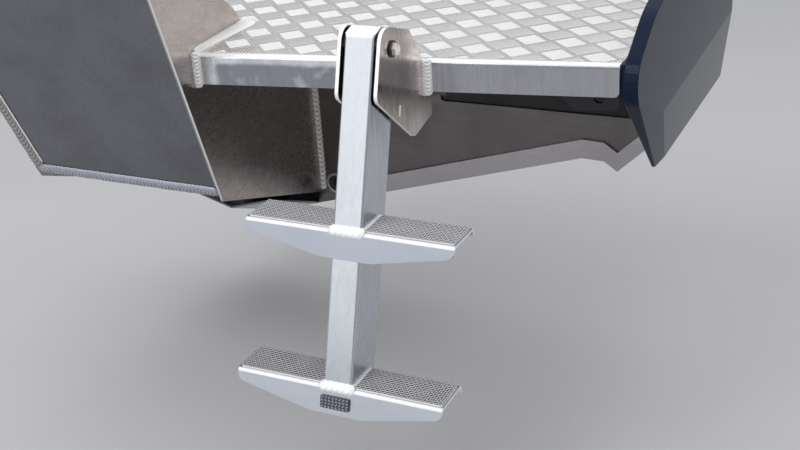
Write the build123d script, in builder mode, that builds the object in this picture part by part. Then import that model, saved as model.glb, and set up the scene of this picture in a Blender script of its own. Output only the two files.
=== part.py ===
from build123d import *
import os
from math import cos, radians, sin, tan

# Stern boarding platform of a welded aluminium boat: a tread-plate deck and its folded rail, the engine
# pod beside it, the transom they are welded to, the end of the hull side, and a two-step ladder that
# hangs between two hinge cheeks and folds up and over onto the deck.
# Millimetres. X to starboard, Y forward, Z up. The origin is on the transom's forward face, on the
# ladder's centre line and deck_top below the deck. Outlines below are given from the point where that
# centre line crosses the rail at deck level.

# Platform
deck_top = 100.0            # deck surface above the origin
platform_depth = 514.0      # transom's forward face to the rail's aft face, on the centre line
plate = 4.0                 # deck, rail and pod sheet
transom_plate_t = 5.0
rail_angle = 9.3            # the rail sweeps forward towards the hull side
rail_height = 52.0
rail_lip = 15.0             # rail's top edge that shows beside the tread plate
rail_bend = 6.0             # outer radius of the rail's fold
rail_corner = 8.0
rail_outboard = 342.0       # outboard end of the rail and of the tread plate
weld_gap = 0.2              # fit-up gap where one plate passes through another

# Engine pod
pod_centre = -585.0         # boat's centre line
pod_toe = 10.6              # the pod walls draw together going forward
pod_wall_x = -366.0         # starboard wall's outer face where the rail meets it
pod_wall_y = -48.0
pod_rake = 21.6             # engine plate leans aft at its top
pod_bottom_y = -18.0        # lower aft corner of the pod walls
pod_bottom = -290.0
pod_top = 205.0
pod_front_bottom = -497.0   # pod's bottom where it meets the transom
pod_corner = 8.0
pod_plate_set_back = 3.0    # engine plate sits this far inside the walls' aft edges
pod_plate_rise = 30.0       # engine plate's lower edge above the walls' corner
pod_bottom_rise = 18.0      # bottom plate above the walls' lower edges
pod_aft_t = 5.0
knee_top_length = 62.0      # flat top of each wall, forward of the engine plate
knee_top_radius = 30.0
knee_corner_u = 175.0       # where the wall's sloping top edge turns down to the deck
knee_corner_z = 33.0
knee_radius = 60.0
knee_front_u = 212.0

# Hull bottom and transom
keel_z = -557.5
deadrise = 16.3
transom_port = -720.0
strake_x = 142.0            # where the bottom's V runs out, level to strake_turn and down to strake_tip
strake_turn = (187.0, -347.0)
strake_tip = (215.0, -366.0)
skin_t = 5.0                # skin over the transom plate
skin_top = -252.0           # the skin's ledge, starboard of skin_step_x
skin_end = 8.0              # blunt end of the ledge beside the hull side
skin_step_x = -165.0
skin_step_radius = 8.0
lip_port = -400.0
lip_height = 40.0
lip_t = 5.0
drain = (-431.0, -471.0)
drain_r = 19.0
drain_ring_r = 25.0
drain_ring_t = 4.0
keel_plate_aft = 304.0      # aft edge of the V plate under the pod
keel_plate_rise = 88.0      # how far it climbs on its way aft
keel_plate_half = 100.0

# Hull side
hull_flange_t = 8.0         # flange that the deck's outboard edge meets
wing_t = 23.0               # above the knuckle
wing_chine_t = 6.0          # along the chine, at the cut forward end
wing_tip_t = 5.0            # at the chine's aft tip
wing_top = 235.0
wing_forward = 250.0        # the hull side is cut this far forward of the transom
wing_reach = 6.0            # its aft end stands this far aft of the rail's end
wing_shoulder = (100.0, 57.0)
wing_nose = (-3.0, -54.0)   # upper and lower height of the aft end
wing_nose_radius = 48.0
wing_shoulder_radius = 150.0
wing_tail = 190.0           # from the aft end to the chine's tip
wing_tail_radius = 3.0
chine_z = -238.0
knuckle_aft = -135.0        # height of the knuckle at the aft end
knuckle_forward = -98.0
knuckle_start = 168.0       # from the aft end to where the knuckle runs out

# Hinge cheeks
cheek_t = 6.0
cheek_gap = 5.0             # between post and cheek
cheek_forward = 22.0        # cheek's reach forward of the rail's face
cheek_bottom = -96.0
cheek_head_aft = (-134.0, 94.0)
cheek_head_front = (-42.0, 65.0)
cheek_heel = (-45.0, -112.0)
cheek_toe = (-167.0, -12.0)
cheek_rail_notch = 3.0      # the slope ends this far aft of the rail's face
cheek_round = 15.0
cheek_head_round = 24.0

# Ladder post
lean = 17.3                 # foot of the post is further aft
post_width = 50.0
post_depth = 80.0
post_wall = 3.0
post_corner = 4.0
post_aft_y = -163.1         # post's aft face at deck level
post_top = 99.0             # along the post, from deck level
post_foot = -493.0
bevel_run = 21.6            # aft corner of the post's head
bevel_drop = 14.2
cap_t = 4.0
foot_t = 3.0

# Pivot
pivot_n = 40.0              # from the post's aft face
pivot_s = 67.0              # along the post
bolt_r = 6.0
bolt_hole_r = 6.05
sleeve_r = 12.0
sleeve_clear = 0.3
washer_r = 13.0
washer_t = 2.5
head_across = 19.0
head_t = 7.5
nut_t = 10.0
bolt_tail = 3.0
bolt_chamfer = 1.2

# Stop plate
stop_t = 6.0
stop_clear = 0.5            # post's forward face to the plate
stop_top = -5.0
stop_bottom = -45.0
tab_top = -19.0
tab_bottom = -36.0
tab_clear = 0.1

# Steps
step_width = 360.0
step_first = -211.5         # where the upper step's surface meets the post's aft face
step_pitch = 247.0
step_depth = 70.0           # from the post's aft face to the front lip's outer side
step_bend = 7.0             # outer radius of the fold
step_lip = 13.0
step_flange = 46.0
step_flange_end = 20.0
step_flange_flat = 45.0     # half width of the full-depth stretch
step_flange_round = 90.0
step_corner = 15.0

# Tread pads, and the grip patch that is as wide as the post
pad_inner = 29.0
pad_outer = 177.0
pad_aft = 2.0
pad_front = 64.0
pad_t = 2.5
pad_corner = 3.0
patch_height = 20.0
patch_t = 3.0
patch_corner = 2.0
patch_drop = 16.0           # below the step's surface, down the flange

# Under the deck
bearer_depth = 60.0
bearer_foot = 30.0
bearer_t = 6.0
lug_t = 8.0
lug_set_back = 34.0
lug_end_gap = 8.5           # from the lug to the line of the rail's end
lug_width = 97.0
lug_bottom = -86.0
lug_taper = 24.0
lug_round = 8.0
lug_hole_in = 32.0          # hole from the lug's outboard edge
lug_hole_z = -66.0
lug_hole_r = 8.0

rail_slope = tan(radians(rail_angle))
lean_sin = sin(radians(lean))
lean_cos = cos(radians(lean))
toe_sin = sin(radians(pod_toe))
toe_cos = cos(radians(pod_toe))
v_slope = tan(radians(deadrise))
cheek_inner = post_width / 2 + cheek_gap
cheek_outer = cheek_inner + cheek_t
transom_aft = platform_depth - transom_plate_t
skin_aft = transom_aft - skin_t
hull_inner_x = rail_outboard + hull_flange_t
far = 1500.0                # longer than anything it trims


# Working planes, all from the point where the centre line crosses the rail at deck level

def level_plane(height=0.0):
    return Plane((0, -platform_depth, deck_top + height))


def side_plane(x):
    return Plane((x, -platform_depth, deck_top), x_dir=(0, 1, 0), z_dir=(1, 0, 0))


def stern_plane(y):
    return Plane((0, y - platform_depth, deck_top), x_dir=(1, 0, 0), z_dir=(0, -1, 0))


def rail_plane(x):
    """Across the rail: first axis square to its face, second axis up."""
    along = radians(rail_angle)
    return Plane(
        (x, x * rail_slope - platform_depth, deck_top),
        x_dir=(-sin(along), cos(along), 0),
        z_dir=(cos(along), sin(along), 0),
    )


def pod_plane(side=1):
    """On a pod wall's outer face, facing outwards: first axis forward along the wall."""
    return Plane(
        (pod_centre + side * (pod_wall_x - pod_centre), pod_wall_y - platform_depth, deck_top),
        x_dir=(-side * toe_sin, toe_cos, 0),
        z_dir=(side * toe_cos, toe_sin, 0),
    )


def post_plane(x):
    """Beside the post: first axis forward from its aft face, second axis up along it."""
    return Plane(
        (x, post_aft_y - platform_depth, deck_top),
        x_dir=(0, lean_cos, -lean_sin),
        z_dir=(1, 0, 0),
    )


def post_section(s):
    """Across the post at s: first axis to starboard, second axis forward from its aft face."""
    return Plane(
        (0, post_aft_y + s * lean_sin - platform_depth, deck_top + s * lean_cos),
        x_dir=(1, 0, 0),
        z_dir=(0, lean_sin, lean_cos),
    )


def flange_plane(s):
    """On the post's aft face at s: first axis to starboard, second axis up, looking aft."""
    return Plane(
        (0, post_aft_y + s * lean_sin - platform_depth, deck_top + s * lean_cos),
        x_dir=(1, 0, 0),
        z_dir=(0, -lean_cos, lean_sin),
    )


def rail_y(x):
    return x * rail_slope


def wall_x(y, inset=0.0):
    """Starboard pod wall at y, inset from its outer face."""
    return pod_wall_x - (y - pod_wall_y) * toe_sin / toe_cos - inset / toe_cos


def wall_u(y):
    """Distance along the pod wall of a point at y."""
    return (y - pod_wall_y) / toe_cos


def pod_aft_y(z):
    """Aft edge of the pod walls at height z."""
    return pod_bottom_y - (z - pod_bottom) * tan(radians(pod_rake))


def v_bottom(x):
    return keel_z + abs(x - pod_centre) * v_slope


def save(part, name):
    part.label = name
    export_step(part, f"parts/{name}.step")
    print(f"{name}: {part.volume / 1000:.1f} cm3")


os.makedirs("parts", exist_ok=True)


# Tread-plate deck, over the platform and the pod, slit where the pod walls stand up through it

lip_y = rail_lip / cos(radians(rail_angle))
deck_aft_y = rail_y(pod_wall_x) + lip_y
engine_plate_y = pod_plate_set_back / cos(radians(pod_rake))
engine_plate_run = pod_aft_t / cos(radians(pod_rake))
well_y = pod_aft_y(-plate) + engine_plate_y + engine_plate_run

with BuildPart() as tread_deck:
    with BuildSketch(level_plane()):
        Polygon(
            (rail_outboard, rail_y(rail_outboard) + lip_y),
            (rail_outboard, platform_depth),
            (2 * pod_centre - wall_x(platform_depth), platform_depth),
            (2 * pod_centre - wall_x(well_y), well_y),
            (wall_x(well_y), well_y),
            (wall_x(deck_aft_y), deck_aft_y),
            align=None,
        )
    extrude(amount=-plate)
    for side in (1, -1):
        with BuildSketch(pod_plane(side)):
            with Locations((knee_front_u + weld_gap, 0)):
                Rectangle(far, far, align=(Align.MAX, Align.CENTER))
        extrude(amount=-plate - weld_gap, mode=Mode.SUBTRACT)
save(tread_deck.part, "tread_deck")


# Rail along the deck's aft edge, folded from sheet and cut at the hinge cheeks

def make_rail(inboard, outboard):
    """A length of rail between two plan lines, each given as its x at the rail and its slope."""
    with BuildPart() as rail:
        with BuildSketch(rail_plane(inboard[0] - plate)):
            with BuildLine():
                FilletPolyline(
                    (plate / 2, -rail_height),
                    (plate / 2, -plate / 2),
                    (rail_lip, -plate / 2),
                    radius=rail_bend - plate / 2,
                )
            trace(line_width=plate)
        extrude(amount=(outboard[0] - inboard[0] + 2 * plate) / cos(radians(rail_angle)))
        with BuildSketch(level_plane()):
            reach = 4 * rail_lip
            inboard_y = rail_y(inboard[0])
            outboard_y = rail_y(outboard[0])
            Polygon(
                (inboard[0] + reach * inboard[1], inboard_y - reach),
                (outboard[0] + reach * outboard[1], outboard_y - reach),
                (outboard[0] - reach * outboard[1], outboard_y + reach),
                (inboard[0] - reach * inboard[1], inboard_y + reach),
                align=None,
            )
        extrude(amount=-2 * rail_height, both=True, mode=Mode.INTERSECT)
    return rail


toe_slope = toe_sin / toe_cos
wall_meets_rail = wall_x(rail_y(pod_wall_x))
rail_inboard = make_rail((wall_meets_rail, toe_slope), (-cheek_outer, 0))
rail_centre = make_rail((-cheek_inner, 0), (cheek_inner, 0))
rail_outer = make_rail((cheek_outer, 0), (rail_outboard, 0))
with BuildPart() as rail_outboard_part:
    add(rail_outer.part)
    end_edge = rail_outboard_part.edges().group_by(Axis.Z)[0].sort_by(Axis.X)[-1]
    fillet(end_edge, rail_corner)
save(rail_inboard.part, "rail_inboard")
save(rail_centre.part, "rail_centre")
save(rail_outboard_part.part, "rail_outboard")


# Hinge cheeks either side of the post, with slots for the stop plate's tabs

def make_cheek(x, rail_at):
    """x is the cheek's port face, rail_at where the rail's face crosses it."""
    lip_front = rail_at + rail_lip - weld_gap
    with BuildPart() as cheek:
        with BuildSketch(side_plane(x)):
            with BuildLine():
                FilletPolyline(
                    cheek_head_aft,
                    cheek_head_front,
                    (rail_at - cheek_rail_notch, 0),
                    (lip_front - plate, 0),
                    (lip_front, -plate - weld_gap),
                    (rail_at + cheek_forward, -plate - weld_gap),
                    (rail_at + cheek_forward, cheek_bottom),
                    cheek_heel,
                    cheek_toe,
                    radius=[cheek_head_round, cheek_round, 1, 1, 0.5, 0.5, plate, cheek_round, cheek_round],
                    close=True,
                )
            make_face()
        extrude(amount=cheek_t)
        with BuildSketch(post_plane(x)):
            with Locations((pivot_n, pivot_s)):
                Circle(bolt_hole_r)
            with Locations((post_depth + stop_clear + stop_t / 2, (tab_top + tab_bottom) / 2)):
                Rectangle(stop_t + 2 * tab_clear, tab_top - tab_bottom + 2 * tab_clear)
        extrude(amount=cheek_t, mode=Mode.SUBTRACT)
    return cheek


cheek_middle = (cheek_inner + cheek_outer) / 2
cheek_outboard = make_cheek(cheek_inner, rail_y(cheek_middle))
cheek_inboard = make_cheek(-cheek_outer, rail_y(-cheek_middle))
save(cheek_outboard.part, "hinge_cheek_outboard")
save(cheek_inboard.part, "hinge_cheek_inboard")


# Stop plate that the hanging post leans on

with BuildPart() as stop_plate:
    for half, top, bottom in (
        (cheek_inner, stop_top, stop_bottom),
        (cheek_outer, tab_top, tab_bottom),
    ):
        with BuildSketch(post_plane(-half)):
            with Locations((post_depth + stop_clear + stop_t / 2, (top + bottom) / 2)):
                Rectangle(stop_t, top - bottom)
        extrude(amount=2 * half)
save(stop_plate.part, "ladder_stop_plate")


# Pivot bolt, nut and the washers under them

def pivot_disc(x, length, outer, inner=0.0):
    with BuildPart() as disc:
        with BuildSketch(post_plane(x)):
            with Locations((pivot_n, pivot_s)):
                Circle(outer)
                if inner:
                    Circle(inner, mode=Mode.SUBTRACT)
        extrude(amount=length)
    return disc


head_seat = cheek_outer + washer_t
with BuildPart() as pivot_bolt:
    with BuildSketch(post_plane(-head_seat - nut_t - bolt_tail)):
        with Locations((pivot_n, pivot_s)):
            Circle(bolt_r)
    extrude(amount=2 * head_seat + nut_t + bolt_tail)
    with BuildSketch(post_plane(head_seat)):
        with Locations((pivot_n, pivot_s)):
            RegularPolygon(head_across / 2, 6, major_radius=False)
    extrude(amount=head_t)
    chamfer(pivot_bolt.faces().sort_by(Axis.X)[-1].edges(), bolt_chamfer)
save(pivot_bolt.part, "pivot_bolt")

with BuildPart() as pivot_nut:
    with BuildSketch(post_plane(-head_seat - nut_t)):
        with Locations((pivot_n, pivot_s)):
            RegularPolygon(head_across / 2, 6, major_radius=False)
            Circle(bolt_hole_r, mode=Mode.SUBTRACT)
    extrude(amount=nut_t)
save(pivot_nut.part, "pivot_nut")

save(pivot_disc(cheek_outer, washer_t, washer_r, bolt_hole_r).part, "pivot_washer_outboard")
save(pivot_disc(-head_seat, washer_t, washer_r, bolt_hole_r).part, "pivot_washer_inboard")


# Sleeve through the post that turns on the bolt

sleeve_half = cheek_inner - sleeve_clear
save(pivot_disc(-sleeve_half, 2 * sleeve_half, sleeve_r, bolt_hole_r).part, "pivot_sleeve")


# Post: rectangular tube with a bevelled head, a cap and a foot plate

tube_top = post_top - cap_t
with BuildPart() as ladder_post:
    with BuildSketch(post_section(post_foot)):
        with Locations((0, post_depth / 2)):
            RectangleRounded(post_width, post_depth, post_corner)
            Rectangle(post_width - 2 * post_wall, post_depth - 2 * post_wall, mode=Mode.SUBTRACT)
    extrude(amount=tube_top - post_foot)
    with BuildSketch(post_plane(-post_width)):
        Polygon((0, tube_top), (bevel_run, tube_top), (0, tube_top - bevel_drop), align=None)
        with Locations((pivot_n, pivot_s)):
            Circle(sleeve_r + weld_gap / 2)
    extrude(amount=2 * post_width, mode=Mode.SUBTRACT)
save(ladder_post.part, "ladder_post")

with BuildPart() as post_cap:
    with BuildSketch(post_plane(-post_width / 2)):
        Polygon(
            (0, tube_top - bevel_drop),
            (bevel_run, tube_top),
            (post_depth, tube_top),
            (post_depth, post_top),
            (bevel_run, post_top),
            (0, post_top - bevel_drop),
            align=None,
        )
    extrude(amount=post_width)
    upright = post_cap.edges().filter_by(lambda e: e.length < 1.5 * cap_t)
    fillet(upright, post_corner - 0.5)
save(post_cap.part, "post_cap")

with BuildPart() as foot_plate:
    with BuildSketch(post_section(post_foot - foot_t)):
        with Locations((0, post_depth / 2)):
            RectangleRounded(post_width, post_depth, post_corner)
    extrude(amount=foot_t)
save(foot_plate.part, "post_foot_plate")


# Steps: level sheet folded down the post's aft face, notched round the post

def make_step(s):
    step_y = post_aft_y + s * lean_sin
    step_z = s * lean_cos
    fold_y = step_y - plate / (2 * lean_cos) + plate / 2 * lean_sin / lean_cos
    with BuildPart() as step:
        with BuildSketch(side_plane(-step_width / 2)):
            with BuildLine():
                FilletPolyline(
                    (step_y + step_depth - plate / 2, step_z - step_lip),
                    (step_y + step_depth - plate / 2, step_z - plate / 2),
                    (fold_y - plate / 2 * lean_sin / lean_cos, step_z - plate / 2),
                    (
                        fold_y - plate / 2 * lean_sin / lean_cos - 2 * step_flange * lean_sin,
                        step_z - plate / 2 - 2 * step_flange * lean_cos,
                    ),
                    radius=step_bend - plate / 2,
                )
            trace(line_width=plate)
        extrude(amount=step_width)
        half = step_width / 2
        with BuildSketch(flange_plane(s)):
            with BuildLine():
                FilletPolyline(
                    (-half, far / 10),
                    (half, far / 10),
                    (half, -step_flange_end),
                    (step_flange_flat, -step_flange),
                    (-step_flange_flat, -step_flange),
                    (-half, -step_flange_end),
                    radius=[1, 1, step_corner, step_flange_round, step_flange_round, step_corner],
                    close=True,
                )
            make_face()
        extrude(amount=far / 10, both=True, mode=Mode.INTERSECT)
        with BuildSketch(flange_plane(s)):
            Rectangle(post_width + 2 * weld_gap, 4 * step_flange)
        extrude(amount=-far / 10, mode=Mode.SUBTRACT)
    return step


step_places = {"upper": step_first, "lower": step_first - step_pitch}
for level, s in step_places.items():
    save(make_step(s).part, f"{level}_step")


# Tread pads either side of the post on each step

def make_pad(s, side):
    step_y = post_aft_y + s * lean_sin
    with BuildPart() as pad:
        with BuildSketch(level_plane(s * lean_cos)):
            with Locations((side * (pad_inner + pad_outer) / 2, step_y + (pad_aft + pad_front) / 2)):
                RectangleRounded(pad_outer - pad_inner, pad_front - pad_aft, pad_corner)
        extrude(amount=pad_t)
    return pad


for level, s in step_places.items():
    for side_name, side in (("starboard", 1), ("port", -1)):
        save(make_pad(s, side).part, f"{level}_tread_pad_{side_name}")


# Grip patch that lands on the deck when the ladder is folded

with BuildPart() as grip_patch:
    with BuildSketch(flange_plane(step_places["lower"]).offset(plate)):
        with Locations((0, -patch_drop - patch_height / 2)):
            RectangleRounded(post_width, patch_height, patch_corner)
    extrude(amount=patch_t)
save(grip_patch.part, "grip_patch")


# Bearers under the deck, in line with the cheeks

def make_bearer(side):
    start = rail_y(side * cheek_middle) + cheek_forward
    with BuildPart() as bearer:
        with BuildSketch(stern_plane(transom_aft)):
            with BuildLine():
                Polyline(
                    (side * cheek_middle, -plate),
                    (side * cheek_middle, -plate - bearer_depth + bearer_t / 2),
                    (side * (cheek_middle + bearer_foot), -plate - bearer_depth + bearer_t / 2),
                )
            trace(line_width=bearer_t)
        extrude(amount=transom_aft - start)
    return bearer


save(make_bearer(1).part, "deck_bearer_outboard")
save(make_bearer(-1).part, "deck_bearer_inboard")


# Tie-down lug under the outboard end of the rail

lug_outboard = rail_outboard / cos(radians(rail_angle)) - lug_end_gap
lug_inboard = lug_outboard - lug_width

with BuildPart() as tie_down_lug:
    lug_plane = Plane(
        (0, lug_set_back - platform_depth, deck_top),
        x_dir=(cos(radians(rail_angle)), sin(radians(rail_angle)), 0),
        z_dir=(sin(radians(rail_angle)), -cos(radians(rail_angle)), 0),
    )
    with BuildSketch(lug_plane):
        with BuildLine():
            FilletPolyline(
                (lug_inboard, -plate),
                (lug_inboard, lug_bottom + lug_taper),
                (lug_inboard + lug_taper, lug_bottom),
                (lug_outboard, lug_bottom),
                (lug_outboard, -plate),
                radius=[1, lug_round, lug_round, lug_round, 1],
                close=True,
            )
        make_face()
        with Locations((lug_outboard - lug_hole_in, lug_hole_z)):
            Circle(lug_hole_r, mode=Mode.SUBTRACT)
    extrude(amount=-lug_t)
save(tie_down_lug.part, "tie_down_lug")


# Engine pod: two toed-in walls, the raked engine plate and the sloping bottom

with BuildPart() as pod_wall:
    with BuildSketch(pod_plane()):
        with BuildLine():
            FilletPolyline(
                (wall_u(pod_bottom_y), pod_bottom),
                (wall_u(pod_aft_y(pod_top)), pod_top),
                (wall_u(pod_aft_y(pod_top)) + knee_top_length, pod_top),
                (knee_corner_u, knee_corner_z),
                (knee_front_u, -plate),
                (wall_u(skin_aft), -plate),
                (wall_u(skin_aft), pod_front_bottom),
                radius=[pod_corner, pod_corner, knee_top_radius, knee_radius, 1, 1, 1],
                close=True,
            )
        make_face()
    extrude(amount=-plate)
save(pod_wall.part, "pod_wall_starboard")

with BuildPart() as pod_wall_port:
    mirror(pod_wall.part, about=Plane.YZ.offset(pod_centre))
save(pod_wall_port.part, "pod_wall_port")


def between_walls(y_aft, y_front):
    """Plan of the space between the pod walls' inner faces."""
    corners = [(wall_x(y, plate), y) for y in (y_aft, y_front)]
    others = [(2 * pod_centre - x, y) for x, y in reversed(corners)]
    return Polygon(*corners, *others, align=None)


rake_tan = tan(radians(pod_rake))
with BuildPart() as engine_plate:
    with BuildSketch(side_plane(pod_centre)):
        bottom = pod_bottom + pod_plate_rise
        Polygon(
            (pod_aft_y(bottom) + engine_plate_y, bottom),
            (pod_aft_y(pod_top) + engine_plate_y, pod_top),
            (pod_aft_y(pod_top) + engine_plate_y + engine_plate_run, pod_top),
            (pod_aft_y(bottom) + engine_plate_y + engine_plate_run, bottom),
            align=None,
        )
    extrude(amount=far / 2, both=True)
    with BuildSketch(level_plane(-far / 2)):
        between_walls(-far / 4, far / 4)
    extrude(amount=far, mode=Mode.INTERSECT)
save(engine_plate.part, "engine_plate")

pod_fall = (pod_front_bottom - pod_bottom) / (skin_aft - pod_bottom_y)
with BuildPart() as pod_bottom_plate:
    with BuildSketch(side_plane(pod_centre)):
        aft_z = pod_bottom + pod_bottom_rise
        aft_y = pod_aft_y(aft_z) + engine_plate_y
        front_z = aft_z + pod_fall * (skin_aft - aft_y)
        Polygon(
            (aft_y, aft_z),
            (skin_aft, front_z),
            (skin_aft, front_z + plate),
            (aft_y - plate * rake_tan, aft_z + plate),
            align=None,
        )
    extrude(amount=far / 2, both=True)
    with BuildSketch(level_plane(-far / 2)):
        between_walls(-far / 4, skin_aft)
    extrude(amount=far, mode=Mode.INTERSECT)
save(pod_bottom_plate.part, "pod_bottom_plate")


# Transom: a plate with the bottom's V and its outboard strake, and a skin over it that is cut down to a
# rounded ledge under the outboard half of the platform

with BuildPart() as transom:
    with BuildSketch(stern_plane(platform_depth)):
        Polygon(
            (transom_port, -plate),
            (transom_port, v_bottom(transom_port)),
            (pod_centre, keel_z),
            (strake_x, v_bottom(strake_x)),
            strake_turn,
            strake_tip,
            (hull_inner_x, chine_z),
            (hull_inner_x, -plate),
            align=None,
        )
        with Locations(drain):
            Circle(drain_r, mode=Mode.SUBTRACT)
    extrude(amount=transom_plate_t)
save(transom.part, "transom_plate")

edge_run = (hull_inner_x - strake_tip[0]) / (chine_z - strake_tip[1])
ledge_x = strake_tip[0] + (skin_top - skin_end - strake_tip[1]) * edge_run
with BuildPart() as transom_skin:
    with BuildSketch(stern_plane(transom_aft)):
        with BuildLine():
            FilletPolyline(
                (transom_port, -plate - weld_gap),
                (transom_port, v_bottom(transom_port)),
                (pod_centre, keel_z),
                (strake_x, v_bottom(strake_x)),
                strake_turn,
                strake_tip,
                (ledge_x, skin_top - skin_end),
                (ledge_x, skin_top),
                (skin_step_x, skin_top),
                (skin_step_x, -plate - weld_gap),
                radius=[1, 1, 1, 1, 1, 1, 1, 1, skin_step_radius, 1],
                close=True,
            )
        make_face()
        with Locations(drain):
            Circle(drain_r, mode=Mode.SUBTRACT)
    extrude(amount=skin_t)
    ledge = transom_skin.edges().filter_by(Axis.X).group_by(Axis.Z)[-2].sort_by(Axis.Y)[0]
    fillet(ledge, skin_t / 2)
save(transom_skin.part, "transom_skin")

with BuildPart() as drain_ring:
    with BuildSketch(stern_plane(skin_aft)):
        with Locations(drain):
            Circle(drain_ring_r)
            Circle(drain_r, mode=Mode.SUBTRACT)
    extrude(amount=drain_ring_t)
    rim = drain_ring.edges().filter_by(GeomType.CIRCLE).group_by(Axis.Y)[0].sort_by(SortBy.RADIUS)[-1]
    fillet(rim, drain_ring_t / 2)
save(drain_ring.part, "drain_ring")

# Bright lip along the bottom's edge, from beside the drain round the strake to the ledge

with BuildPart() as transom_lip:
    with BuildSketch(stern_plane(skin_aft)):
        Polygon(
            (lip_port, v_bottom(lip_port) + lip_height),
            (lip_port, v_bottom(lip_port)),
            (strake_x, v_bottom(strake_x)),
            strake_turn,
            strake_tip,
            (ledge_x, skin_top - skin_end),
            (ledge_x, skin_top),
            (ledge_x - (lip_height - skin_end) * edge_run, skin_top),
            (strake_tip[0], strake_tip[1] + lip_height),
            (strake_turn[0], strake_turn[1] + lip_height),
            (strake_x, v_bottom(strake_x) + lip_height),
            align=None,
        )
    extrude(amount=lip_t)
save(transom_lip.part, "transom_lip")


# V plate that climbs aft from the keel, under the pod

keel_plate_run = skin_aft - keel_plate_aft
with BuildPart() as pod_keel_plate:
    with BuildSketch(stern_plane(skin_aft)):
        edge_z = v_bottom(pod_centre + keel_plate_half)
        Polygon(
            (pod_centre - keel_plate_half, edge_z),
            (pod_centre, keel_z),
            (pod_centre + keel_plate_half, edge_z),
            (pod_centre + keel_plate_half, edge_z + plate),
            (pod_centre, keel_z + plate),
            (pod_centre - keel_plate_half, edge_z + plate),
            align=None,
        )
    extrude(
        amount=(keel_plate_run**2 + keel_plate_rise**2) ** 0.5,
        dir=(0, -keel_plate_run, keel_plate_rise),
    )
save(pod_keel_plate.part, "pod_keel_plate")


# End of the hull side: rounded aft end, a knuckle along it and the flank below leaning in to the chine,
# with a facet where the knuckle runs out towards the aft end

wing_y = rail_y(rail_outboard) - wing_reach
wing_front = platform_depth + wing_forward
wing_outer_x = hull_inner_x + wing_t
along_knuckle = Vector(0, wing_front - wing_y, knuckle_forward - knuckle_aft)
down_flank = Vector(wing_chine_t - wing_t, 0, chine_z - knuckle_forward)
flank_plane = Plane(
    level_plane(knuckle_aft).origin + Vector(wing_outer_x, wing_y, 0),
    x_dir=along_knuckle,
    z_dir=down_flank.cross(along_knuckle),
)
facet_top = level_plane(wing_nose[1]).origin + Vector(wing_outer_x, wing_y, 0)
facet_tip = level_plane(chine_z).origin + Vector(hull_inner_x + wing_tip_t, wing_y + wing_tail, 0)
facet_start = flank_plane.origin + along_knuckle * (knuckle_start / (wing_front - wing_y))
facet_plane = Plane(
    facet_top,
    x_dir=facet_start - facet_top,
    z_dir=(facet_tip - facet_top).cross(facet_start - facet_top),
)

with BuildPart() as hull_side:
    with BuildSketch(side_plane(hull_inner_x)):
        with BuildLine():
            FilletPolyline(
                (wing_front, wing_top),
                (wing_y + wing_shoulder[0], wing_shoulder[1]),
                (wing_y, wing_nose[0]),
                (wing_y + 1, wing_nose[1]),
                (wing_y + wing_tail, chine_z),
                (wing_front, chine_z),
                radius=[1, wing_shoulder_radius, wing_nose_radius, wing_nose_radius, wing_tail_radius, 1],
                close=True,
            )
        make_face()
    extrude(amount=wing_t)
    with BuildSketch(flank_plane):
        Rectangle(2 * far, far, align=(Align.CENTER, Align.MAX))
    extrude(amount=wing_t, mode=Mode.SUBTRACT)
    with BuildSketch(facet_plane):
        Rectangle(2 * far, 2 * far)
    extrude(amount=wing_t, mode=Mode.SUBTRACT)
save(hull_side.part, "hull_side")

with BuildPart() as hull_flange:
    with BuildSketch(side_plane(rail_outboard)):
        Polygon(
            (rail_y(rail_outboard) + rail_lip / 3, 0),
            (transom_aft, 0),
            (transom_aft, -rail_height),
            (rail_y(rail_outboard) + rail_lip / 3, -rail_height),
            align=None,
        )
    extrude(amount=hull_flange_t)
save(hull_flange.part, "hull_side_flange")
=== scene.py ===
import bpy
import math
import random
from mathutils import Matrix, Vector


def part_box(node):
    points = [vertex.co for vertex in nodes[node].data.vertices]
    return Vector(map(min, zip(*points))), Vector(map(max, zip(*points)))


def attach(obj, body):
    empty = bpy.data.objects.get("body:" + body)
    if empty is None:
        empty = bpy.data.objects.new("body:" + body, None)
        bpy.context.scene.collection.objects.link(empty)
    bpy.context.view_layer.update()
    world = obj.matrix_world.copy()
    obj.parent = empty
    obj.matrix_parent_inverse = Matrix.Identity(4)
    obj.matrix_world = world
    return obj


# Looks of the boarding platform and its folding ladder. Metres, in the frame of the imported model: X to
# starboard, Y forward, Z up. Sizes given in millimetres are measured from the point where the ladder's
# centre line crosses the rail at deck level, and at() turns them into the frame's metres.

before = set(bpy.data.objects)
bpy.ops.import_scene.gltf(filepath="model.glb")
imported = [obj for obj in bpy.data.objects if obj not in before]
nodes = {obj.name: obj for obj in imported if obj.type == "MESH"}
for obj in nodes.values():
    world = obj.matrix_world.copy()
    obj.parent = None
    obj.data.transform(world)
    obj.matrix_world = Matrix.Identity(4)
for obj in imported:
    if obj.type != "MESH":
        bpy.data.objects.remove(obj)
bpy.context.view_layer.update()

MM = 0.001
DECK_TOP = 100.0                # above the frame's origin
PLATFORM_DEPTH = 514.0          # from the rail to the frame's origin, at the ladder
RAIL_SLOPE = math.tan(math.radians(9.3))
RAIL_HEIGHT = 52.0
RAIL_LIP = 15.2                 # width of the rail's top, which the tread plate starts behind
RAIL_OUTBOARD = 342.0
PLATE = 4.0
POD_CENTRE = -585.0
POD_WALL = (-366.0, -48.0)      # x and y of a point on the starboard wall's outer face
TOE = math.tan(math.radians(10.6))
POD_BOTTOM = (-18.0, -290.0)    # y and z of the pod's lower aft edge
POD_TOP = 205.0
RAKE = math.tan(math.radians(21.6))
KNEE_FRONT_Y = 160.0            # where the pod walls end on the deck
KNEE_SEAM_X = -361.5            # deck edge of the broad fillet along the starboard wall
KNEE_SEAM_LEAST = 8.0           # its least width
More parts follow.
